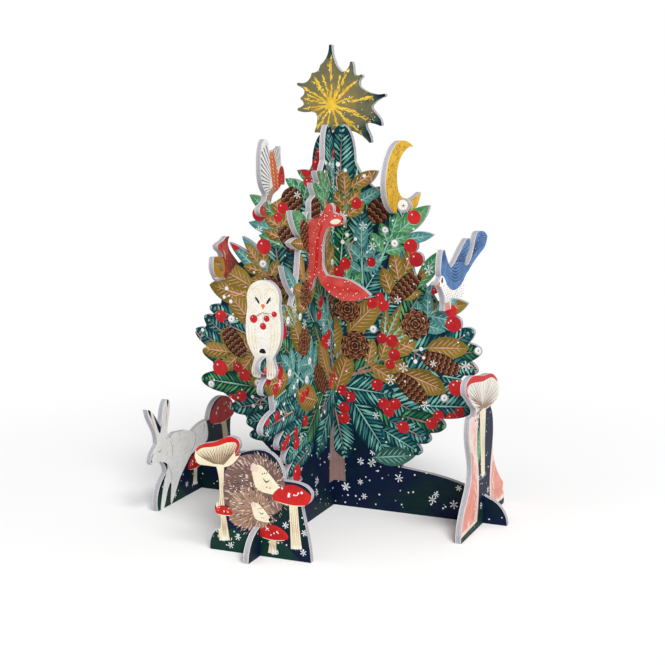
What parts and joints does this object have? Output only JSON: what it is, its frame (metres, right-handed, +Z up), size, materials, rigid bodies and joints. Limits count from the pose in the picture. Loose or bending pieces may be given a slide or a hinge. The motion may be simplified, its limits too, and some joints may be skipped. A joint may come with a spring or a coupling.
{
  "type": "slot-together card tree decoration",
  "caption": "Tabletop paper tree of two crossed die-cut boards, with a star, moon, birds and woodland animals slotted over their edges.",
  "frame": {"origin": "on the table plane, on the line where the two tree panels cross", "axes": "+Z up the tree, +X to the right along the panel that faces the viewer, +Y away from the viewer along the other panel"},
  "size_m": [0.15, 0.161, 0.1865],
  "materials": {
    "board": "matt uncoated greyboard with a satin printed paper face on each side"
  },
  "bodies": {
    "root": {"tree_panel_wide": "board", "tree_panel_deep": "board", "star": "board", "moon": "board", "flying_bird": "board", "perched_bird": "board", "blue_bird": "board", "owl": "board", "squirrel": "board", "hare_foot": "board", "hedgehog_foot": "board", "mushroom_foot": "board"}
  },
  "joints": []
}
